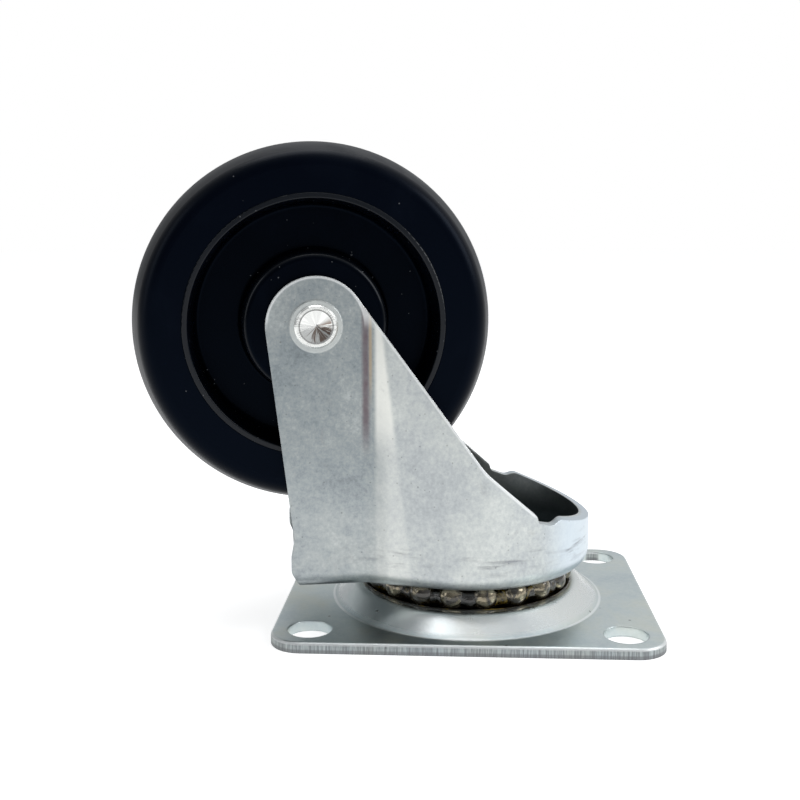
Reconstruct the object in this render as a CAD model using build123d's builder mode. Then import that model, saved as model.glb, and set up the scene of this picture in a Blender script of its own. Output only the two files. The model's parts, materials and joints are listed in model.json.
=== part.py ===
"""Swivel plate castor with a double ball race, a pressed steel fork and a solid-tyred wheel.

It stands on its mounting plate with the wheel uppermost. Millimetres. The origin is the centre
of the plate's underside, +X runs along the plate's long side and +Z up the kingpin.
"""

import os
from math import acos, asin, atan2, cos, degrees, hypot, radians, sin, tan

from build123d import *

os.makedirs("parts", exist_ok=True)

# ---------------------------------------------------------------- driving dimensions

# Mounting plate
plate_sheet = 1.8
boss_crest = 19.8  # ridge outside the ball groove
boss_foot = 24.2  # where the boss meets the flat plate
boss_land = 1.2  # flat kept round the boss
plate_border = 1.1  # from there to the plate's long edge
plate_extra_length = 13.0  # the plate is this much longer than it is wide
plate_corner = 5.5
bolt_hole = 7.5
bolt_inset_x = 6.5  # hole centres in from the plate's ends
bolt_inset_y = 6.0  # hole centres in from the plate's long edges
sheared_edge = 0.5
platform_top = 5.6  # raised centre that the race cup is riveted to
platform_bend = 2.0
crest_bend = 1.3
foot_bend = 1.6

# Ball races
ball_clearance = 0.06
outer_ball = 5.0
outer_pitch = 17.0
outer_ball_z = 6.8
outer_ball_count = 20
inner_ball = 4.0
inner_pitch = 10.3
inner_ball_count = 14
plate_groove_slope = 32.0
crown_slope = 30.0  # cone between the two grooves of the fork's crown
cup_slope = 48.0

# Race cup and kingpin
cup_sheet = 1.5
cup_neck = 6.45
cup_skirt = 12.9
cup_floor_bend = 1.0
cup_neck_bend = 1.5
pin_radius = 4.0
pin_foot_radius = 7.0
pin_foot_height = 2.4
pin_foot_chamfer = 0.6
pin_head_radius = 5.2
pin_head_height = 1.9

# Fork
fork_heading = 10.0  # the fork stands turned on its swivel by this angle
fork_sheet = 1.8
fork_bottom = 8.7
fork_bend = 3.0  # outside radius of the bend between crown and wall
crown_hole = 8.3
crown_edge_bend = 0.4
crown_lap = 0.2  # the grooved crown runs this far into the flat web around it
crown_flat = 0.33  # flat web kept outside the outer groove
bend_gap = 0.1  # from that web to the start of the bend
joggle_x = -20.0  # the wall steps out from leg to flank here
joggle_run = 3.0
joggle_step = 1.5
joggle_hollow = 3.0
joggle_round = 6.0
heel_height = 17.0  # below this the rear edge swells into a rounded heel
heel_swell = 1.6
heel_round = 2.0
leg_lean = 7.2  # the rear edge leans back by this angle
front_slope = 54.5  # the front edge climbs to the head at this angle
slope_foot_z = 29.0  # where the front edge starts to flatten
slope_end = (8.3, 21.2)  # x and z of the slope's foot, with a small step down to the rim
rim_step = (8.7, 19.9)
rim_dip = (11.4, 19.1)
rim_bump = (13.0, 19.9)
rim_front_z = 16.9  # the rim falls to this height in front
slope_easing = 14.0
step_round = 0.5
dip_round = 0.6
bump_round = 1.5
head_radius = 8.4
axle_boss_radius = 4.4
axle_boss_height = 0.35

# Wheel and axle
wheel_radius = 31.75
wheel_trail = 28.2  # axle behind the swivel axis
axle_z = 53.25
tyre_width = 25.8
tread_crown = 30.0
tread_shoulder = 3.0
core_radius = 22.3
rim_proud = 0.25  # the rim stands this far beyond each side of the tyre
rim_wall = 1.0
web_thickness = 10.0
core_draft = 0.6
web_fillet = 0.8
hub_radius = 12.8
hub_proud = 0.4  # and the hub this far
hub_edge = 1.2
bore_edge = 0.3
rim_edge = 0.25
hub_side_gap = 0.8  # hub to leg on each side
axle_radius = 3.0
axle_fit = 0.05
axle_cap_radius = 3.65
axle_cap_edge = 0.3
axle_cap_height = 0.5
axle_dimple_radius = 2.7
axle_dimple_depth = 1.0
sleeve_radius = 4.2
bearing_fit = 0.06

# ---------------------------------------------------------------- frames and derived places

fork_frame = Plane.XY.rotated((0, 0, fork_heading))
fork_side = Plane((0, 0, 0), x_dir=fork_frame.x_dir, z_dir=-fork_frame.y_dir)
axle_centre = fork_frame.from_local_coords(Vector(-wheel_trail, 0, axle_z))
axle_axis = Axis(axle_centre, fork_frame.y_dir)
axle_section = Plane(axle_centre, x_dir=fork_frame.y_dir, z_dir=fork_frame.x_dir)

outer_race = outer_ball / 2 + ball_clearance
inner_race = inner_ball / 2 + ball_clearance
crown_inner_bend = inner_race + fork_sheet / 2
crown_outer_bend = outer_race + fork_sheet / 2

# The crown's cone is one straight line touching both grooves, which sets the inner balls' height.
inner_ball_z = (
    outer_ball_z
    + (crown_inner_bend + crown_outer_bend) / cos(radians(crown_slope))
    - (outer_pitch - inner_pitch) * tan(radians(crown_slope))
)
platform_underside = platform_top - plate_sheet
cup_floor_top = platform_top + cup_sheet
plate_width = 2 * (boss_foot + boss_land + plate_border)
plate_length = plate_width + plate_extra_length
rim_width = tyre_width + 2 * rim_proud
hub_width = tyre_width + 2 * hub_proud
leg_inside = hub_width / 2 + hub_side_gap
leg_face = leg_inside + fork_sheet  # outer face of each leg from the middle plane
web_z = fork_bottom + fork_sheet / 2
outer_groove_z = outer_ball_z + crown_outer_bend / cos(radians(crown_slope))
web_edge = outer_pitch + (outer_groove_z - web_z) / tan(radians(crown_slope))
crown_edge = web_edge + crown_flat
nose_radius = crown_edge + bend_gap + fork_bend


def export(piece, name):
    """Label a finished piece and write it as its own STEP file."""
    piece.label = name
    export_step(piece, f"parts/{name}.step")


# ---------------------------------------------------------------- mounting plate


def make_mounting_plate():
    """Flat plate with four holes, and a round boss pressed up to carry the outer balls."""
    slope = radians(plate_groove_slope)
    bend = outer_race + plate_sheet / 2
    flat_z = plate_sheet / 2
    platform_z = platform_top - plate_sheet / 2
    groove_z = outer_ball_z - bend / cos(slope)
    platform_edge = outer_pitch - (platform_z - groove_z) / tan(slope)
    crest_z = groove_z + (boss_crest - outer_pitch) * tan(slope)
    land = boss_foot + boss_land

    with BuildPart() as plate:
        with BuildSketch():
            RectangleRounded(plate_length, plate_width, plate_corner)
            Circle(land, mode=Mode.SUBTRACT)
            with GridLocations(plate_length - 2 * bolt_inset_x, plate_width - 2 * bolt_inset_y, 2, 2):
                Circle(bolt_hole / 2, mode=Mode.SUBTRACT)
        extrude(amount=plate_sheet)
        top_face = plate.faces().sort_by(Axis.Z)[-1]
        fillet(top_face.outer_wire().edges(), sheared_edge)
        with BuildSketch(Plane.XZ):
            with BuildLine():
                FilletPolyline(
                    (pin_radius, platform_z),
                    (platform_edge, platform_z),
                    (outer_pitch, groove_z),
                    (boss_crest, crest_z),
                    (boss_foot, flat_z),
                    (land, flat_z),
                    radius=(platform_bend, bend, crest_bend, foot_bend),
                )
            trace(line_width=plate_sheet)
        revolve(axis=Axis.Z)
    export(plate.part, "mounting_plate")


# ---------------------------------------------------------------- kingpin and race cup


def make_kingpin():
    """Solid rivet: a flat foot in the plate's hollow and a domed head closed over the race cup."""
    foot_z = platform_underside - pin_foot_height
    dome_z = cup_floor_top + pin_head_height
    rim_z = cup_floor_top + pin_head_height / 3
    dome_rise = dome_z - rim_z
    dome_radius = (pin_head_radius**2 + dome_rise**2) / (2 * dome_rise)
    half_angle = degrees(asin(pin_head_radius / dome_radius))
    with BuildPart() as kingpin:
        with BuildSketch(Plane.XZ):
            with BuildLine():
                Polyline(
                    (0, dome_z),
                    (0, foot_z),
                    (pin_foot_radius - pin_foot_chamfer, foot_z),
                    (pin_foot_radius, foot_z + pin_foot_chamfer),
                    (pin_foot_radius, platform_underside),
                    (pin_radius, platform_underside),
                    (pin_radius, cup_floor_top),
                    (pin_head_radius, cup_floor_top),
                    (pin_head_radius, rim_z),
                )
                CenterArc((0, dome_z - dome_radius), dome_radius, 90 - half_angle, half_angle)
            make_face()
        revolve(axis=Axis.Z)
    export(kingpin.part, "kingpin")


def make_race_cup():
    """Pressed funnel riveted to the plate, whose flared skirt holds the inner balls down."""
    slope = radians(cup_slope)
    bend = inner_race + cup_sheet / 2
    floor_z = platform_top + cup_sheet / 2
    groove_z = inner_ball_z + bend / cos(slope)
    neck_z = groove_z - (inner_pitch - cup_neck) * tan(slope)
    skirt_z = groove_z - (cup_skirt - inner_pitch) * tan(slope)
    with BuildPart() as cup:
        with BuildSketch(Plane.XZ):
            with BuildLine():
                FilletPolyline(
                    (pin_radius, floor_z),
                    (cup_neck, floor_z),
                    (cup_neck, neck_z),
                    (inner_pitch, groove_z),
                    (cup_skirt, skirt_z),
                    radius=(cup_floor_bend, cup_neck_bend, bend),
                )
            trace(line_width=cup_sheet)
        revolve(axis=Axis.Z)
    export(cup.part, "race_cup")


# ---------------------------------------------------------------- balls


def make_balls(name, count, diameter, pitch, height, heading):
    """One ring of loose balls, each a node of its own."""
    for number in range(count):
        angle = radians(heading + 360 * number / count)
        with BuildPart() as ball:
            with Locations((pitch * cos(angle), pitch * sin(angle), height)):
                Sphere(diameter / 2)
        export(ball.part, f"{name}_{number + 1:02d}")


# ---------------------------------------------------------------- fork


def wall_plan():
    """Outer plan of the wall: a round nose, straight flanks, and legs set in by a joggle."""
    shoulder = (joggle_x + joggle_run, leg_face + joggle_step)
    touch = atan2(shoulder[1], shoulder[0]) - acos(nose_radius / hypot(*shoulder))
    rear = -wheel_trail - head_radius - 10
    with BuildSketch() as plan:
        with BuildLine():
            FilletPolyline(
                (rear, leg_face),
                (joggle_x, leg_face),
                shoulder,
                (nose_radius * cos(touch), nose_radius * sin(touch)),
                radius=(joggle_hollow, joggle_round),
            )
            CenterArc((0, 0), nose_radius, 0, degrees(touch))
            mirror(about=Plane.XZ)
            Line((rear, leg_face), (rear, -leg_face))
        make_face()
    return plan.sketch


def side_view():
    """Side outline: leg head, long front slope, and the notched rim round the nose."""
    lean, climb = radians(leg_lean), radians(front_slope)
    head_rear = (-wheel_trail - head_radius * cos(lean), axle_z - head_radius * sin(lean))
    head_front = (-wheel_trail + head_radius * sin(climb), axle_z + head_radius * cos(climb))
    below = fork_bottom - 2
    heel_x = head_rear[0] + (head_rear[1] - fork_bottom) * tan(lean)
    with BuildSketch() as outline:
        with BuildLine():
            CenterArc(
                (-wheel_trail, axle_z), head_radius, 90 - front_slope, front_slope + 90 + leg_lean
            )
            FilletPolyline(
                head_front,
                (head_front[0] + (head_front[1] - slope_foot_z) / tan(climb), slope_foot_z),
                slope_end,
                rim_step,
                rim_dip,
                rim_bump,
                (nose_radius, rim_front_z),
                radius=(slope_easing, step_round, dip_round, bump_round, bump_round),
            )
            Polyline((nose_radius, rim_front_z), (nose_radius, below), (heel_x, below))
            FilletPolyline(
                (heel_x, below),
                (heel_x, fork_bottom),
                (heel_x - heel_swell, fork_bottom + fork_bend),
                (heel_x - heel_swell, heel_height - fork_bend),
                (head_rear[0] + (head_rear[1] - heel_height) * tan(lean), heel_height),
                head_rear,
                radius=(step_round, heel_round, heel_round, heel_round),
            )
        make_face()
    return outline.sketch


def make_fork():
    """One pressing: crown with two ball grooves, wall round the nose, and the two legs."""
    wall_top = axle_z + head_radius + 2
    slope = radians(crown_slope)
    inner_groove_z = inner_ball_z - crown_inner_bend / cos(slope)
    hole_z = inner_groove_z + (inner_pitch - crown_hole) * tan(slope)

    with BuildPart() as cavity:
        with BuildSketch(fork_frame.offset(fork_bottom + fork_sheet)):
            add(wall_plan())
            offset(amount=-fork_sheet, mode=Mode.REPLACE)
        extrude(amount=wall_top)
        fillet(cavity.faces().sort_by(Axis.Z)[0].edges(), fork_bend - fork_sheet)

    with BuildPart() as fork:
        with BuildSketch(fork_frame.offset(fork_bottom)):
            add(wall_plan())
        extrude(amount=wall_top)
        fillet(fork.faces().sort_by(Axis.Z)[0].edges(), fork_bend)
        add(cavity.part, mode=Mode.SUBTRACT)
        with BuildSketch(fork_side):
            add(side_view())
        extrude(amount=nose_radius, both=True, mode=Mode.INTERSECT)

        with BuildSketch(fork_frame.offset(fork_bottom - 1)):
            Circle(crown_edge - crown_lap)
        extrude(amount=fork_sheet + 2, mode=Mode.SUBTRACT)
        with BuildSketch(fork_side):
            with BuildLine():
                FilletPolyline(
                    (crown_hole, hole_z),
                    (inner_pitch, inner_groove_z),
                    (outer_pitch, outer_groove_z),
                    (web_edge, web_z),
                    (crown_edge, web_z),
                    radius=(crown_inner_bend, crown_outer_bend, crown_edge_bend),
                )
            trace(line_width=fork_sheet)
        revolve(axis=Axis.Z)

        for face_side in (1, -1):
            with BuildSketch(fork_side.offset(face_side * leg_face)):
                with Locations((-wheel_trail, axle_z)):
                    Circle(axle_boss_radius)
            extrude(amount=face_side * axle_boss_height)
        with BuildSketch(fork_side):
            with Locations((-wheel_trail, axle_z)):
                Circle(axle_radius + axle_fit)
        extrude(amount=leg_face * 2, both=True, mode=Mode.SUBTRACT)
    export(fork.part, "fork")


# ---------------------------------------------------------------- axle and wheel


def make_axle():
    """Rivet pin through both legs, headed over each boss and dimpled at both ends."""
    seat = leg_face + axle_boss_height
    end = seat + axle_cap_height
    with BuildPart() as axle:
        with BuildSketch(axle_section):
            with BuildLine():
                Polyline(
                    (0, 0),
                    (end - axle_dimple_depth, 0),
                    (end, axle_dimple_radius),
                    (end, axle_cap_radius - axle_cap_edge),
                    (end - axle_cap_edge, axle_cap_radius),
                    (seat, axle_cap_radius),
                    (seat, axle_radius),
                    (0, axle_radius),
                )
                mirror(about=Plane.YZ)
            make_face()
        revolve(axis=axle_axis)
    export(axle.part, "axle")


def make_axle_sleeve():
    """Tube clamped between the legs, on which the wheel turns."""
    with BuildPart() as sleeve:
        with BuildSketch(axle_section):
            with Locations((0, (sleeve_radius + axle_radius + axle_fit) / 2)):
                Rectangle(2 * leg_inside, sleeve_radius - axle_radius - axle_fit)
        revolve(axis=axle_axis)
    export(sleeve.part, "axle_sleeve")


def make_wheel_core():
    """Moulded centre: hub, recessed web and rim, turned about the axle."""
    bore = sleeve_radius + bearing_fit
    rim_inside = core_radius - rim_wall
    with BuildPart() as core:
        with BuildSketch(axle_section):
            with BuildLine():
                FilletPolyline(
                    (0, bore),
                    (hub_width / 2, bore),
                    (hub_width / 2, hub_radius - core_draft),
                    (web_thickness / 2, hub_radius),
                    (web_thickness / 2, rim_inside - core_draft),
                    (rim_width / 2, rim_inside),
                    (rim_width / 2, core_radius),
                    (0, core_radius),
                    radius=(bore_edge, hub_edge, web_fillet, web_fillet, rim_edge, rim_edge),
                )
                mirror(about=Plane.YZ)
            make_face()
        revolve(axis=axle_axis)
    export(core.part, "wheel_core")


def make_tyre():
    """Solid tyre bonded to the core, with a lightly crowned tread and round shoulders."""
    edge_drop = tread_crown - (tread_crown**2 - (tyre_width / 2) ** 2) ** 0.5
    with BuildPart() as tyre:
        with BuildSketch(axle_section) as section:
            with BuildLine():
                ThreePointArc(
                    (-tyre_width / 2, wheel_radius - edge_drop),
                    (0, wheel_radius),
                    (tyre_width / 2, wheel_radius - edge_drop),
                )
                Polyline(
                    (tyre_width / 2, wheel_radius - edge_drop),
                    (tyre_width / 2, core_radius),
                    (-tyre_width / 2, core_radius),
                    (-tyre_width / 2, wheel_radius - edge_drop),
                )
            make_face()
            fillet(section.vertices().group_by(Axis.Y)[-1], tread_shoulder)
        revolve(axis=axle_axis)
    export(tyre.part, "tyre")


make_mounting_plate()
make_kingpin()
make_race_cup()
make_balls("outer_ball", outer_ball_count, outer_ball, outer_pitch, outer_ball_z, fork_heading)
make_balls("inner_ball", inner_ball_count, inner_ball, inner_pitch, inner_ball_z, fork_heading)
make_fork()
make_axle()
make_axle_sleeve()
make_wheel_core()
make_tyre()
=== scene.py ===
"""Looks of the swivel plate castor: zinc-plated pressings, greased balls and a solid black wheel.

Everything is in metres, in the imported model's own frame: origin under the plate's centre,
+Z up the kingpin. The fork stands turned on its swivel, so fork-side patterns read coordinates
that are turned back by the same angle.
"""

import json
import math

import bpy
import numpy as np
from mathutils import Matrix, Vector


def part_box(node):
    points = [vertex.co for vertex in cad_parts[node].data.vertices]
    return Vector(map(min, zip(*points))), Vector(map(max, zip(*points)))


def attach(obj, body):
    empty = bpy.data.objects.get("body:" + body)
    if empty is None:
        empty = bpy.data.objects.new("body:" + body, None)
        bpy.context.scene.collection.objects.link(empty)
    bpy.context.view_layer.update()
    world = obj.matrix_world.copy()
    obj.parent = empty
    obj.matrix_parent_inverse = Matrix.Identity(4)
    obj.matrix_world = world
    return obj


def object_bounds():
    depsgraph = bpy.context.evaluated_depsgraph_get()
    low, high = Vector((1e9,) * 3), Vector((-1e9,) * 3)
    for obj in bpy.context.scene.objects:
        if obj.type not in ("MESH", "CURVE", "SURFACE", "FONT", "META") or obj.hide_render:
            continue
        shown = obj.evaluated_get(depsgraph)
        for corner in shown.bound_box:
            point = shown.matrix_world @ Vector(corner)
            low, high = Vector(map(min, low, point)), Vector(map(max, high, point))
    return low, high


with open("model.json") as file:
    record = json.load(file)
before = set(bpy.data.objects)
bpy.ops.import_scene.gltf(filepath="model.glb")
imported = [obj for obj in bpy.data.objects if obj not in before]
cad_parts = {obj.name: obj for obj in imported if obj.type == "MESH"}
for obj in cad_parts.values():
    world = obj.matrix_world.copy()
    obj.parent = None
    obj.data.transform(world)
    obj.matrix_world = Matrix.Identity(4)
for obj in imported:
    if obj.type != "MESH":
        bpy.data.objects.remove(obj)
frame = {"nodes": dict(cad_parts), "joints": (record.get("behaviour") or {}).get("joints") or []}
cad_box = [list(corner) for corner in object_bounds()]

MM = 0.001
EDGE_SAMPLES = 6

# ---------------------------------------------------------------- places taken from the frame

wheel_joint = next(joint for joint in frame["joints"] if joint["name"] == "wheel_spin")
axle_centre = Vector(wheel_joint["pos_m"])
axle_direction = Vector(wheel_joint["axis"]).normalized()
fork_heading = math.atan2(-axle_direction.x, axle_direction.y)
wheel_trail = math.hypot(axle_centre.x, axle_centre.y)
outer_balls = [name for name in frame["nodes"] if name.startswith("outer_ball_")]
inner_balls = [name for name in frame["nodes"] if name.startswith("inner_ball_")]


def ball_ring(names):
    """Pitch radius and height of a ring of balls, from its first ball."""
    low, high = (Vector(corner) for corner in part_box(names[0]))
    centre = (low + high) / 2
    return math.hypot(centre.x, centre.y), centre.z


# Places on the fork in its own turned coordinates: x runs forward from the kingpin, z up.
joggle_hollow = -20.0 * MM
joggle_tint = -19.2 * MM
joggle_crest = -17.9 * MM
joggle_top = 53.0 * MM
crest_widening = 0.055
rub_height = 14.0 * MM
upper_slope_normal, upper_slope_reach = (0.814, 0.581), 16.39 * MM
lower_slope_normal, lower_slope_reach = (0.6605, 0.7507), 21.40 * MM
axle_ring_radius = 3.95 * MM

# Places on the plate, out from the kingpin.
boss_foot_line = 24.6 * MM

# Places on the axle end and the wheel, out from the axle.
dimple_rim = 2.8 * MM
hub_rim = 12.3 * MM
tyre_ring_pitch = 0.42 * MM
core_ring_pitch = 0.36 * MM


# ---------------------------------------------------------------- shader helpers


class Socket:
    """A node's output with arithmetic: each operator adds the Math node that it names."""

    def __init__(self, nodes, link):
        self.nodes = nodes
        self.link = link

    def _math(self, operation, *values):
        return self.nodes.node("ShaderNodeMath", {"operation": operation}, dict(enumerate(values)))

    def __add__(self, other):
        return self._math("ADD", self, other)

    def __radd__(self, other):
        return self._math("ADD", other, self)

    def __sub__(self, other):
        return self._math("SUBTRACT", self, other)

    def __rsub__(self, other):
        return self._math("SUBTRACT", other, self)

    def __mul__(self, other):
        return self._math("MULTIPLY", self, other)

    def __rmul__(self, other):
        return self._math("MULTIPLY", other, self)

    def __truediv__(self, other):
        return self._math("DIVIDE", self, other)

    def __pow__(self, other):
        return self._math("POWER", self, other)

    def __abs__(self):
        return self._math("ABSOLUTE", self)

    def sine(self):
        """Sine of the value in radians."""
        return self._math("SINE", self)

    def larger(self, other):
        """The larger of two values."""
        return self._math("MAXIMUM", self, other)

    def near(self, place, inner, outer):
        """1 within an inner distance of a place, 0 beyond an outer one, eased between."""
        return 1.0 - abs(self - place).smooth(inner, outer)

    def smooth(self, low, high):
        """0 below low, 1 above high, eased between."""
        return self.nodes.node(
            "ShaderNodeMapRange",
            {"interpolation_type": "SMOOTHSTEP"},
            {"Value": self, "From Min": low, "From Max": high},
        )


class Nodes:
    """A node tree, with one way to add any node to it."""

    def __init__(self, tree):
        self.tree = tree

    def node(self, kind, settings, inputs, output=0):
        """Adds a node, sets its properties, fills its sockets with values or links."""
        node = self.tree.nodes.new(kind)
        for key, value in settings.items():
            if key == "stops":
                self._stops(node.color_ramp, value)
            else:
                setattr(node, key, value)
        for key, value in inputs.items():
            if isinstance(value, Socket):
                self.tree.links.new(value.link, node.inputs[key])
            else:
                node.inputs[key].default_value = value
        return Socket(self, node.outputs[output])

    @staticmethod
    def _stops(ramp, stops):
        while len(ramp.elements) < len(stops):
            ramp.elements.new(0.5)
        for element, (place, colour) in zip(ramp.elements, stops):
            element.position = place
            element.color = (*colour, 1.0)

    def parts(self, vector):
        """X, Y and Z of a vector."""
        split = self.node("ShaderNodeSeparateXYZ", {}, {"Vector": vector})
        outputs = split.link.node.outputs
        return [Socket(self, outputs[index]) for index in range(3)]

    def ray(self, kind):
        """1 for rays of one kind, such as Is Camera Ray."""
        return self.node("ShaderNodeLightPath", {}, {}, output=kind)


class Finish(Nodes):
    """One material, with a Principled shader and short ways to add nodes to it."""

    def __init__(self, name, **constants):
        self.material = bpy.data.materials.new(name)
        self.material.use_nodes = True
        super().__init__(self.material.node_tree)
        self.shader = self.tree.nodes["Principled BSDF"]
        for socket, value in constants.items():
            self.shader.inputs[socket.replace("_", " ")].default_value = value
        self.coordinates = self.node("ShaderNodeTexCoord", {}, {}, output="Object")

    def turned_about_z(self, vector, angle):
        """A vector turned back by an angle about Z."""
        settings = {"rotation_type": "Z_AXIS"}
        return self.node("ShaderNodeVectorRotate", settings, {"Vector": vector, "Angle": -angle})

    def turned(self, angle=0.0, centre=(0.0, 0.0, 0.0), scale=(1.0, 1.0, 1.0)):
        """Object coordinates moved to a centre, turned back by an angle about Z, then scaled."""
        moved = self.node("ShaderNodeVectorMath", {"operation": "SUBTRACT"}, {0: self.coordinates, 1: centre})
        back = self.turned_about_z(moved, angle)
        return self.node("ShaderNodeVectorMath", {"operation": "MULTIPLY"}, {0: back, 1: scale})

    def noise(self, scale, detail=3.0, roughness=0.55, vector=None, distortion=0.0):
        """Fractal noise between 0 and 1."""
        return self.node(
            "ShaderNodeTexNoise",
            {},
            {
                "Vector": vector or self.coordinates,
                "Scale": scale,
                "Detail": detail,
                "Roughness": roughness,
                "Distortion": distortion,
            },
        )

    def specks(self, scale, size, share):
        """Small round dots on a share of the cells of a grid: 1 inside a dot, 0 outside."""
        cells = self.node("ShaderNodeTexVoronoi", {}, {"Vector": self.coordinates, "Scale": scale})
        outputs = cells.link.node.outputs
        distance = Socket(self, outputs["Distance"])
        chance, _, _ = self.parts(Socket(self, outputs["Color"]))
        return (1.0 - distance.smooth(size * 0.6, size)) * chance.smooth(1.0 - share, 1.001 - share)

    def mix(self, factor, first, second):
        """Colour blend from first to second."""
        return self.node(
            "ShaderNodeMix",
            {"data_type": "RGBA"},
            {"Factor": factor, 6: as_colour(first), 7: as_colour(second)},
            output=2,
        )

    def ramp(self, value, stops):
        """Colour looked up along a row of stops."""
        return self.node("ShaderNodeValToRGB", {"stops": stops}, {"Fac": value})

    def turned_normal(self, angle=0.0):
        """X, Y and Z of the surface's own normal, turned back by an angle about Z."""
        normal = self.node("ShaderNodeTexCoord", {}, {}, output="Normal")
        return self.parts(self.turned_about_z(normal, angle))

    def rounded(self, radius):
        """Normal softened over sharp edges, as a tumbled and plated edge has."""
        return self.node("ShaderNodeBevel", {"samples": EDGE_SAMPLES}, {"Radius": radius})

    def bump(self, height, distance, normal=None, strength=1.0):
        """Normal disturbed by a height."""
        inputs = {"Height": height, "Distance": distance, "Strength": strength}
        if normal is not None:
            inputs["Normal"] = normal
        return self.node("ShaderNodeBump", {}, inputs)

    def applied(self, **links):
        """Links results to the shader's sockets and returns the material."""
        for socket, value in links.items():
            self.tree.links.new(value.link, self.shader.inputs[socket.replace("_", " ")])
        return self.material


def as_colour(value):
    """A Socket as it is, or three numbers as an opaque colour."""
    return value if isinstance(value, Socket) else (*value, 1.0)


# ---------------------------------------------------------------- finishes: zinc-plated steel


def zinc_fork():
    """Satin bright zinc on the pressed fork: cloudy tint, fine grain, die rub and handling marks, with
    painted light, shade, highlights and reflections.

    x runs forward along the fork and z up, both in metres from the kingpin line and the floor.
    """
    f = Finish("zinc_fork", Metallic=1.0)
    x, y, z = f.parts(f.turned(fork_heading))
    nx, ny, _ = f.turned_normal(fork_heading)
    reach = (x * x + y * y) ** 0.5

    clouds = f.noise(95.0, 4.0, 0.6)
    patches = f.noise(42.0, 3.0, 0.5, distortion=0.6)
    mottle = f.noise(1500.0, 3.0, 0.75)
    blotch = f.noise(420.0, 3.0, 0.6)
    tone = clouds * 0.26 + patches * 0.26 + mottle * 0.32 + blotch * 0.16
    # Painted light and shade: a lighter copy of the zinc tones on the cup wall, and partly low on the leg; a
    # darker copy on the upper leg.
    shaded_leg_tones = (0.18, 0.205, 0.22), (0.27, 0.305, 0.32), (0.34, 0.37, 0.375), (0.50, 0.53, 0.53)
    lit_wall_tones = (0.36, 0.38, 0.40), (0.47, 0.50, 0.51), (0.56, 0.59, 0.58), (0.70, 0.72, 0.70)
    tone_places = 0.36, 0.46, 0.54, 0.66
    leg = f.ramp(tone, list(zip(tone_places, shaded_leg_tones)))
    wall = f.ramp(tone, list(zip(tone_places, lit_wall_tones)))
    lit_wall_mask = x.smooth(-19.0 * MM, -15.5 * MM)
    below = 1.0 - z.smooth(18.0 * MM, 36.0 * MM)
    colour = f.mix(lit_wall_mask.larger(below * 0.45), leg, wall)

    # The joggle: a painted bright highlight along its crest, and a thin dark, warm painted reflection in its
    # hollow.
    upper = z.smooth(30 * MM, 38 * MM)
    spread = (joggle_top - z) * crest_widening
    crest = 1.0 - (abs(x - joggle_crest - spread) - spread).smooth(0.1 * MM, 1.0 * MM)
    colour = f.mix(crest * (0.20 + upper * 0.50) * (0.55 + patches * 0.8), colour, (0.95, 0.95, 0.89))
    # Painted reflection: a dark, warm line along the hollow.
    hollow = x.near(joggle_hollow, 0.15 * MM, 0.95 * MM) * upper
    colour = f.mix(hollow * (0.35 + blotch * 0.75), colour, (0.13, 0.085, 0.10))
    # Painted reflection: a thin amber edge to the dark line, beside the painted crest highlight.
    amber = x.near(joggle_tint, 0.05 * MM, 0.40 * MM) * z.smooth(38 * MM, 48 * MM)
    colour = f.mix(amber * 0.55, colour, (0.50, 0.36, 0.20))

    # The nose of the cup is painted a cold bluish-white highlight, and is a little smoother.
    nose = x.smooth(8.0 * MM, 15.5 * MM) * reach.smooth(20.8 * MM, 21.6 * MM)
    colour = f.mix(nose * 0.70, colour, (0.57, 0.655, 0.73))

    # Inside faces are painted dark grey-green: painted shade and a painted reflection of the dark wheel,
    # heavier towards the floor of the cup.
    facing_in = (x * nx + y * ny) / reach
    inside = (1.0 - facing_in.smooth(-0.5, -0.1)) * (1.0 - reach.smooth(20.9 * MM, 21.3 * MM))
    colour = f.mix(inside * (0.92 - z.smooth(13 * MM, 21 * MM) * 0.45), colour, (0.035, 0.052, 0.058))

    # Painted highlights: bright lines along the cut edge of the slope and round the head, and a bright ring
    # round the axle.
    upper_slope = upper_slope_reach - (x * upper_slope_normal[0] + z * upper_slope_normal[1])
    lower_slope = lower_slope_reach - (x * lower_slope_normal[0] + z * lower_slope_normal[1])
    behind_edge = upper_slope.larger(lower_slope)
    edge = (1.0 - behind_edge.smooth(0.22 * MM, 0.55 * MM)) * z.smooth(20.6 * MM, 21.6 * MM)
    head_x, head_z = x + wheel_trail, z - axle_centre.z
    head_radius = (head_x * head_x + head_z * head_z) ** 0.5
    head = head_radius.smooth(7.85 * MM, 8.15 * MM) * head_z.smooth(-1 * MM, 2 * MM)
    # Painted highlight on the raised ring round the axle.
    axle_ring_highlight = head_radius.near(axle_ring_radius, 0.35 * MM, 0.65 * MM)
    colour = f.mix(axle_ring_highlight * 0.42, colour, (0.84, 0.86, 0.83))
    colour = f.mix(edge.larger(head) * 0.65, colour, (0.88, 0.90, 0.90))

    # Dull rub marks low on the leg, where the blank slid over the die's radius.
    low_band = z.near(rub_height, 0.6 * MM, 3.2 * MM)
    streaks = f.noise(1.0, 4.0, 0.6, vector=f.turned(fork_heading, scale=(150.0, 150.0, 1000.0)))
    rub = low_band * streaks.smooth(0.50, 0.80) * patches.smooth(0.40, 0.60)
    stains = f.noise(210.0, 4.0, 0.65, distortion=0.8).smooth(0.60, 0.78)
    pits = f.specks(620.0, 0.13, 0.12) + f.specks(1300.0, 0.2, 0.10)
    colour = f.mix(rub * 0.75, colour, (0.16, 0.165, 0.19))
    colour = f.mix(stains * 0.25, colour, (0.24, 0.23, 0.24))
    colour = f.mix(pits * 0.38, colour, (0.09, 0.09, 0.09))

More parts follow.
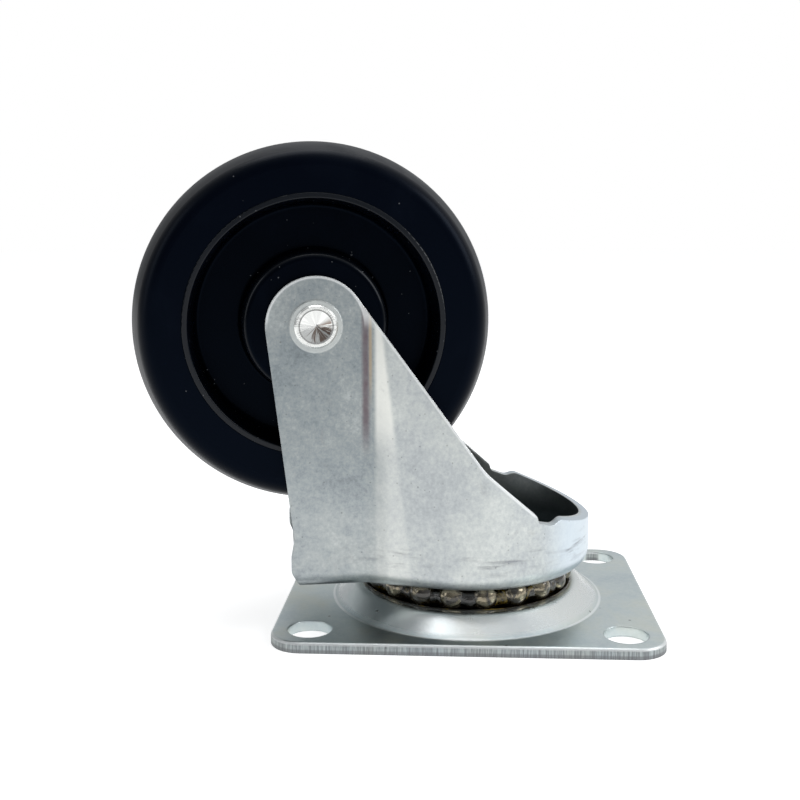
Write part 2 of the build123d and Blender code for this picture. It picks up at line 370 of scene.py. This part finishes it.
    # Drawing lines left by the die run down the walls, closer together than they are deep.
    drawn = f.noise(1.0, 3.0, 0.6, vector=f.turned(fork_heading, scale=(1900.0, 1900.0, 120.0)))
    roughness = 0.31 + clouds * 0.10 + mottle * 0.10 + rub * 0.16 + stains * 0.10 - nose * 0.06
    height = drawn * 0.4 + mottle * 0.9 + clouds * 1.2 - pits * 1.5
    normal = f.bump(height, 0.007 * MM, f.rounded(0.28 * MM), 0.9)
    return f.applied(Base_Color=colour, Roughness=roughness, Normal=normal)


def zinc_plate():
    """Satin bright zinc on the mounting plate, with fine upright lines on its sheared edge, painted
    highlights on the boss and the top edge, and painted shade inside the race.
    """
    f = Finish("zinc_plate", Metallic=1.0)
    x, y, z = f.parts(f.coordinates)
    radius = (x * x + y * y) ** 0.5
    _, _, nz = f.turned_normal()

    clouds = f.noise(80.0, 4.0, 0.6, distortion=0.4)
    tones = (0.44, 0.52, 0.55), (0.54, 0.61, 0.61), (0.60, 0.64, 0.59), (0.70, 0.73, 0.69)
    colour = f.ramp(clouds, list(zip((0.32, 0.5, 0.66, 0.82), tones)))
    grain = f.noise(4800.0, 2.0, 0.7)
    mottle = f.noise(1300.0, 3.0, 0.75)
    colour = f.mix((mottle - 0.5) * 0.9 + 0.18, colour, (0.72, 0.74, 0.73))

    # The boss is painted brighter as a painted highlight, and is a little smoother; a painted highlight line
    # runs round its foot.
    boss_highlight = radius.smooth(19.2 * MM, 20.5 * MM) * (1.0 - radius.smooth(23.4 * MM, 24.4 * MM))
    colour = f.mix(boss_highlight * 0.55, colour, (0.78, 0.79, 0.79))
    # Painted highlight: a thin bright line round the boss's foot.
    foot_highlight = radius.near(boss_foot_line, 0.08 * MM, 0.32 * MM)
    colour = f.mix(foot_highlight * 0.65, colour, (0.90, 0.92, 0.92))

    # Sheared edge: burnished lines above, rough fracture below.
    half_length, half_width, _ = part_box("mounting_plate")[1]
    outline = (abs(x) - half_length).larger(abs(y) - half_width).smooth(-2.6 * MM, -2.3 * MM)
    side = (1.0 - abs(nz).smooth(0.35, 0.75)) * outline
    lines = f.noise(1.0, 2.0, 0.8, vector=f.turned(0.0, scale=(2600.0, 2600.0, 160.0)))
    fracture = 1.0 - z.smooth(0.45 * MM, 0.8 * MM)
    colour = f.mix(side * (0.35 + lines.smooth(0.35, 0.65) * 0.5), colour, (0.17, 0.18, 0.19))
    colour = f.mix(side * fracture * 0.55, colour, (0.14, 0.14, 0.15))
    # Painted highlight: a bright band along the rounded top edge.
    top_edge_highlight = outline * z.smooth(1.25 * MM, 1.5 * MM) * (1.0 - abs(nz).smooth(0.90, 0.995))
    colour = f.mix(top_edge_highlight * 0.7, colour, (0.80, 0.82, 0.82))

    # Inside the race the plate is painted dark amber-brown, for grease and painted shade under the fork's
    # crown, and the top carries a few pits and long scratches.
    grease_and_shade = (1.0 - radius.smooth(18.8 * MM, 19.8 * MM)) * z.smooth(2.0 * MM, 3.0 * MM)
    colour = f.mix(grease_and_shade * 0.75, colour, (0.16, 0.11, 0.05))
    scratches = f.noise(1.0, 2.0, 0.5, vector=f.turned(0.5, scale=(60.0, 1500.0, 60.0))).smooth(0.70, 0.78)
    pits = f.specks(460.0, 0.14, 0.10)
    colour = f.mix(pits * 0.6, colour, (0.12, 0.12, 0.12))
    colour = f.mix(scratches * 0.25, colour, (0.30, 0.31, 0.32))

    roughness = 0.27 + clouds * 0.16 - boss_highlight * 0.10 + side * 0.18 + scratches * 0.1 + pits * 0.1
    height = grain * 0.4 + clouds * 1.0 + side * lines * 9.0 - pits * 1.5 - scratches * 0.8
    normal = f.bump(height, 0.006 * MM, f.rounded(0.45 * MM), 0.9)
    return f.applied(Base_Color=colour, Roughness=roughness, Normal=normal)


def turned_steel(name, light, dark, scale, roughness):
    """Plain plated or drawn steel for the small parts, with a little cloudiness and grain."""
    f = Finish(name, Metallic=1.0)
    clouds = f.noise(scale, 4.0, 0.6)
    grain = f.noise(4200.0, 2.0, 0.7)
    colour = f.mix(clouds.smooth(0.35, 0.7), light, dark)
    normal = f.bump(grain * 0.5 + clouds, 0.005 * MM, f.rounded(0.15 * MM), 0.8)
    return f.applied(Base_Color=colour, Roughness=roughness + clouds * 0.12, Normal=normal)


def spun_axle():
    """Bright rivet end: fine spokes run out from the centre of the dimple, as peening leaves them."""
    f = Finish("spun_axle", Metallic=1.0)
    x, _, z = f.parts(f.turned(fork_heading, tuple(axle_centre)))
    angle = f.node("ShaderNodeMath", {"operation": "ARCTAN2"}, {0: z, 1: x})
    radius = (x * x + z * z) ** 0.5
    around = {"X": angle.sine() * 3.4, "Y": (angle + 1.5708).sine() * 3.4, "Z": radius * 150.0}
    spokes = f.noise(1.0, 3.0, 0.7, vector=f.node("ShaderNodeCombineXYZ", {}, around))
    dimple = 1.0 - radius.smooth(2.5 * MM, 2.75 * MM)
    lower_right = ((x * 0.6 - z * 0.8) / radius).smooth(-0.05, 0.45)
    colour = f.mix(spokes.smooth(0.40, 0.60) * dimple * 0.35, (0.80, 0.81, 0.79), (0.45, 0.45, 0.45))
    colour = f.mix(spokes.smooth(0.46, 0.54) * dimple * lower_right * 0.9, colour, (0.20, 0.14, 0.11))
    rim_line = radius.near(dimple_rim, 0.05 * MM, 0.18 * MM)
    colour = f.mix(rim_line * 0.75, colour, (0.12, 0.12, 0.12))
    normal = f.bump(spokes, 0.10 * MM, f.rounded(0.12 * MM), 0.6)
    return f.applied(Base_Color=colour, Roughness=0.16 + spokes * 0.12, Normal=normal)


def greased_ball():
    """Polished ball under a broken film of amber grease."""
    f = Finish("greased_ball", Coat_Roughness=0.06)
    film = f.noise(420.0, 3.0, 0.6, distortion=1.2)
    thick = film.smooth(0.40, 0.58)
    colour = f.mix(thick, (0.24, 0.21, 0.15), (0.016, 0.011, 0.004))
    metallic = 1.0 - thick * 0.75
    normal = f.bump(film + f.noise(1500.0, 2.0, 0.6) * 0.3, 0.16 * MM, strength=0.8)
    return f.applied(
        Base_Color=colour,
        Roughness=0.08 + thick * 0.10,
        Metallic=metallic,
        Coat_Weight=0.35 + thick * 0.6,
        Normal=normal,
    )


def grease():
    """Soft wet grease, dark amber, darker where it is thick and dirty."""
    f = Finish("grease", Coat_Roughness=0.05)
    dirt = f.noise(300.0, 4.0, 0.65, distortion=0.8)
    tones = (0.003, 0.003, 0.002), (0.014, 0.009, 0.003), (0.20, 0.14, 0.02)
    colour = f.ramp(dirt, list(zip((0.38, 0.55, 0.63), tones)))
    normal = f.bump(dirt + f.noise(1300.0, 2.0, 0.6) * 0.3, 0.55 * MM, strength=0.9)
    coat = 0.5 + dirt * 0.4
    return f.applied(Base_Color=colour, Roughness=0.14 + dirt * 0.2, Coat_Weight=coat, Normal=normal)


# ---------------------------------------------------------------- finishes: wheel


NAVY_SHEEN = (0.45, 0.65, 1.0, 1.0)


def from_axle(f):
    """Distance from the axle line, and place along it, in metres."""
    x, y, z = f.parts(f.turned(fork_heading, tuple(axle_centre)))
    return (x * x + z * z) ** 0.5, y


def tyre_finish():
    """Near-black moulded tyre, duller at its shoulders and painted with a lighter sheen there, with faint
    rings, dust and light scuffs.
    """
    f = Finish("tyre_finish", Specular_IOR_Level=0.07, Specular_Tint=NAVY_SHEEN, Coat_Roughness=0.22)
    radius, _ = from_axle(f)
    clouds = f.noise(70.0, 4.0, 0.6, distortion=0.5)
    shoulder_sheen = radius.smooth(27.5 * MM, 30.5 * MM)
    rings = (radius * (2 * math.pi / tyre_ring_pitch)).sine() * 0.5 + 0.5
    dust = f.specks(620.0, 0.10, 0.10) + f.specks(260.0, 0.07, 0.06)
    haze = clouds.smooth(0.50, 0.75)
    colour = f.mix(haze, (0.0004, 0.0010, 0.0036), (0.0016, 0.0026, 0.0064))
    # Painted sheen: the shoulders are painted a little lighter.
    colour = f.mix(shoulder_sheen * 0.6, colour, (0.0050, 0.0058, 0.0078))
    colour = f.mix(dust * 0.5, colour, (0.22, 0.23, 0.25))
    roughness = 0.30 + haze * 0.12 + shoulder_sheen * 0.14 + dust * 0.2
    height = f.noise(900.0, 3.0, 0.6) * 0.6 + rings * 0.08 + clouds * 2.0 + dust * 1.0
    normal = f.bump(height, 0.008 * MM, f.rounded(0.2 * MM), 0.8)
    return f.applied(Base_Color=colour, Roughness=roughness, Coat_Weight=shoulder_sheen * 0.12, Normal=normal)


def core_finish():
    """Glossier black moulded core with turned rings, dust in the recess, a painted lighter sheen on the rim
    lip and a painted highlight round the hub's edge.
    """
    f = Finish("core_finish", Specular_IOR_Level=0.05, Specular_Tint=NAVY_SHEEN, Coat_Roughness=0.12)
    radius, along = from_axle(f)
    clouds = f.noise(85.0, 4.0, 0.6, distortion=0.6)
    rings = (radius * (2 * math.pi / core_ring_pitch)).sine() * 0.5 + 0.5
    dust = f.specks(800.0, 0.12, 0.26) + f.specks(300.0, 0.07, 0.10)
    lip = radius.smooth(21.1 * MM, 21.5 * MM)
    edge = radius.near(hub_rim, 0.2 * MM, 0.9 * MM) * abs(along).smooth(12.2 * MM, 12.8 * MM)
    colour = f.mix(clouds.smooth(0.4, 0.75), (0.0002, 0.0006, 0.0020), (0.0012, 0.0024, 0.0060))
    # Painted sheen on the rim lip, and a painted highlight round the hub's edge.
    colour = f.mix(lip * 0.6, colour, (0.006, 0.008, 0.012))
    colour = f.mix(edge * 0.35, colour, (0.010, 0.012, 0.015))
    colour = f.mix(dust * 0.5, colour, (0.24, 0.25, 0.27))
    roughness = 0.20 + clouds * 0.14 + dust * 0.2 + lip * 0.08
    height = f.noise(850.0, 3.0, 0.6) * 0.4 + rings * 0.10 + clouds * 1.6 + dust * 0.8
    normal = f.bump(height, 0.008 * MM, f.rounded(0.15 * MM), 0.8)
    coat = lip * 0.40 + edge * 0.40
    return f.applied(Base_Color=colour, Roughness=roughness, Coat_Weight=coat, Normal=normal)


finishes = {
    "fork": zinc_fork(),
    "mounting_plate": zinc_plate(),
    "kingpin": turned_steel("kingpin_steel", (0.60, 0.62, 0.64), (0.42, 0.43, 0.44), 220.0, 0.26),
    "race_cup": turned_steel("race_steel", (0.50, 0.50, 0.49), (0.30, 0.27, 0.21), 160.0, 0.24),
    "axle_sleeve": turned_steel("sleeve_steel", (0.55, 0.56, 0.57), (0.38, 0.38, 0.39), 240.0, 0.32),
    "axle": spun_axle(),
    "wheel_core": core_finish(),
    "tyre": tyre_finish(),
}
ball_finish = greased_ball()
for node_name, node_object in frame["nodes"].items():
    chosen = finishes.get(node_name, ball_finish)
    for material_slot in node_object.material_slots:
        material_slot.link = "OBJECT"
        material_slot.material = chosen


# ---------------------------------------------------------------- new pieces: grease


RING_STEPS = 480
SECTION_STEPS = 20


def closed_surface(name, points, material):
    """A grid of points that closes on itself both ways, as a smooth mesh of quads."""
    rings, steps, _ = points.shape
    ring, step = np.meshgrid(np.arange(rings), np.arange(steps), indexing="ij")
    next_ring, next_step = (ring + 1) % rings, (step + 1) % steps
    corners = np.stack(
        [
            ring * steps + step,
            next_ring * steps + step,
            next_ring * steps + next_step,
            ring * steps + next_step,
        ],
        axis=-1,
    ).reshape(-1, 4)
    mesh = bpy.data.meshes.new(name)
    mesh.vertices.add(rings * steps)
    mesh.vertices.foreach_set("co", points.reshape(-1).astype(np.float32))
    mesh.loops.add(corners.size)
    mesh.loops.foreach_set("vertex_index", corners.reshape(-1).astype(np.int32))
    mesh.polygons.add(len(corners))
    mesh.polygons.foreach_set("loop_start", np.arange(0, corners.size, 4, dtype=np.int32))
    mesh.polygons.foreach_set("use_smooth", np.ones(len(corners), dtype=bool))
    mesh.update(calc_edges=True)
    mesh.validate()
    mesh.materials.append(material)
    piece = bpy.data.objects.new(name, mesh)
    bpy.context.scene.collection.objects.link(piece)
    return piece


def waves(angle, seed, counts, weights):
    """Sum of sines round a circle, with whole counts so that it closes, and seeded phases."""
    phases = np.random.default_rng(seed).uniform(0, 2 * np.pi, len(counts))
    terms = zip(counts, weights, phases)
    return sum(weight * np.sin(count * angle + phase) for count, weight, phase in terms)


def grease_ring(name, body, pitch, height, thickness, seed, lumps):
    """A lumpy ring of grease.

    Point = pitch circle + thickness * (1 + lumps * waves) * (cos s, sin s), where s goes round the
    ring's section. One sum of waves varies along the circle, and another is also times sin 2s.
    """
    along = np.linspace(0, 2 * np.pi, RING_STEPS, endpoint=False)[:, None]
    round_section = np.linspace(0, 2 * np.pi, SECTION_STEPS, endpoint=False)[None, :]
    lump = waves(along, seed, (7, 13, 23, 41, 67), (0.30, 0.26, 0.24, 0.20, 0.14))
    ripple = waves(along, seed + 1, (29, 53), (0.16, 0.12)) * np.sin(2 * round_section)
    swell = thickness * (1 + lumps * (lump + ripple))
    radius = pitch + swell * np.cos(round_section)
    points = np.stack(
        [radius * np.cos(along), radius * np.sin(along), height + swell * np.sin(round_section)], axis=-1
    )
    piece = closed_surface(name, points, grease_finish)
    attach(piece, body)
    return piece


grease_finish = grease()
outer_pitch, outer_height = ball_ring(outer_balls)
inner_pitch, inner_height = ball_ring(inner_balls)
grease_ring("outer_grease", "outer_balls", outer_pitch, outer_height - 0.35 * MM, 1.65 * MM, 4, 0.24)
grease_ring("groove_grease", "plate", outer_pitch + 2.15 * MM, outer_height - 1.95 * MM, 0.28 * MM, 9, 0.30)
grease_ring("inner_grease", "inner_balls", inner_pitch, inner_height - 0.3 * MM, 1.2 * MM, 14, 0.22)


# ---------------------------------------------------------------- stage, light and camera

scene = bpy.context.scene
scene.view_settings.view_transform = "Standard"


FLOOR_HALF = 3.0
FLOOR_GLOW = 0.70
FILL_STRENGTH = 0.38
ROOM_LEVEL, ROOM_SLOPES = 0.50, (0.30, 0.16, 0.16)
ROOM_DARKEST, ROOM_BRIGHTEST = 0.16, 1.0
WHITE = (1.0, 1.0, 1.0, 1.0)
COOL_WHITE = (0.96, 0.98, 1.0, 1.0)
PALE = (0.82, 0.82, 0.82, 1.0)


def make_floor():
    """Wide pale floor that shows white and keeps the object's soft shadow."""
    half = FLOOR_HALF
    mesh = bpy.data.meshes.new("floor")
    mesh.from_pydata(
        [(-half, -half, 0.0), (half, -half, 0.0), (half, half, 0.0), (-half, half, 0.0)], [], [(0, 1, 2, 3)]
    )
    f = Finish("floor", Base_Color=PALE, Roughness=0.9, Specular_IOR_Level=0.0, Emission_Color=WHITE)
    seen = f.ray("Is Camera Ray").larger(f.ray("Is Glossy Ray")).larger(f.ray("Is Transmission Ray"))
    mesh.materials.append(f.applied(Emission_Strength=seen * FLOOR_GLOW))
    floor = bpy.data.objects.new("floor", mesh)
    scene.collection.objects.link(floor)


def make_world():
    """White to the camera; to reflections a soft room, brighter to the right, above and behind.

    The room's brightness is a level plus a slope along each of X, Y and Z, held between two limits.
    """
    world = bpy.data.worlds.new("studio")
    scene.world = world
    world.use_nodes = True
    world.node_tree.nodes.clear()
    n = Nodes(world.node_tree)
    x, y, z = n.parts(n.node("ShaderNodeTexCoord", {}, {}, output="Generated"))
    brightness = x * ROOM_SLOPES[0] + ROOM_LEVEL + y * ROOM_SLOPES[1] + z * ROOM_SLOPES[2]
    held = n.node("ShaderNodeClamp", {}, {"Value": brightness, "Min": ROOM_DARKEST, "Max": ROOM_BRIGHTEST})
    room = n.node("ShaderNodeBackground", {}, {"Color": COOL_WHITE, "Strength": held})
    fill = n.node("ShaderNodeBackground", {}, {"Color": COOL_WHITE, "Strength": FILL_STRENGTH})
    white = n.node("ShaderNodeBackground", {}, {"Color": WHITE})
    unseen = n.node("ShaderNodeMixShader", {}, {0: n.ray("Is Glossy Ray"), 1: fill, 2: room})
    shown = n.node("ShaderNodeMixShader", {}, {0: n.ray("Is Camera Ray"), 1: unseen, 2: white})
    out = n.tree.nodes.new("ShaderNodeOutputWorld")
    n.tree.links.new(shown.link, out.inputs["Surface"])


def make_lamp(name, place, target, size, power, colour=(1.0, 1.0, 1.0)):
    """Square soft lamp aimed at a target."""
    lamp = bpy.data.lights.new(name, "AREA")
    lamp.shape = "RECTANGLE"
    lamp.size, lamp.size_y = size
    lamp.energy = power
    lamp.color = colour
    holder = bpy.data.objects.new(name, lamp)
    holder.location = place
    holder.rotation_euler = (Vector(target) - Vector(place)).to_track_quat("-Z", "Y").to_euler()
    scene.collection.objects.link(holder)


camera_place = Vector((-1.25, -191.61, 69.28)) * MM
camera_yaw = math.radians(-3.22)
camera_pitch = math.radians(-3.84)
camera_roll = math.radians(-0.17)
camera_lens = 46.86
camera_shift = (-0.00125, -0.1259)


def make_camera():
    """Camera a little above the axle's height, straight in front, looking nearly level."""
    ahead = Vector(
        (
            math.sin(camera_yaw) * math.cos(camera_pitch),
            math.cos(camera_yaw) * math.cos(camera_pitch),
            math.sin(camera_pitch),
        )
    )
    right = Vector((math.cos(camera_yaw), -math.sin(camera_yaw), 0.0))
    up = right.cross(ahead)
    rolled_right = right * math.cos(camera_roll) + up * math.sin(camera_roll)
    rolled_up = up * math.cos(camera_roll) - right * math.sin(camera_roll)
    turn = Matrix((rolled_right, rolled_up, -ahead)).transposed()
    data = bpy.data.cameras.new("camera")
    data.sensor_width = 36.0
    data.lens = camera_lens
    data.shift_x, data.shift_y = camera_shift
    data.clip_start = 0.01
    holder = bpy.data.objects.new("camera", data)
    holder.matrix_world = Matrix.Translation(camera_place) @ turn.to_4x4()
    scene.collection.objects.link(holder)
    scene.camera = holder


middle = (Vector(cad_box[0]) + Vector(cad_box[1])) / 2
make_floor()
make_world()
make_lamp("key", (0.50, -0.14, 0.34), middle, (0.26, 0.36), 1.1)
make_lamp("side", (-0.42, -0.22, 0.22), middle, (0.16, 0.34), 0.25, (0.97, 0.985, 1.0))
make_lamp("top", (-0.05, 0.10, 0.55), middle, (0.40, 0.40), 0.9)
make_camera()
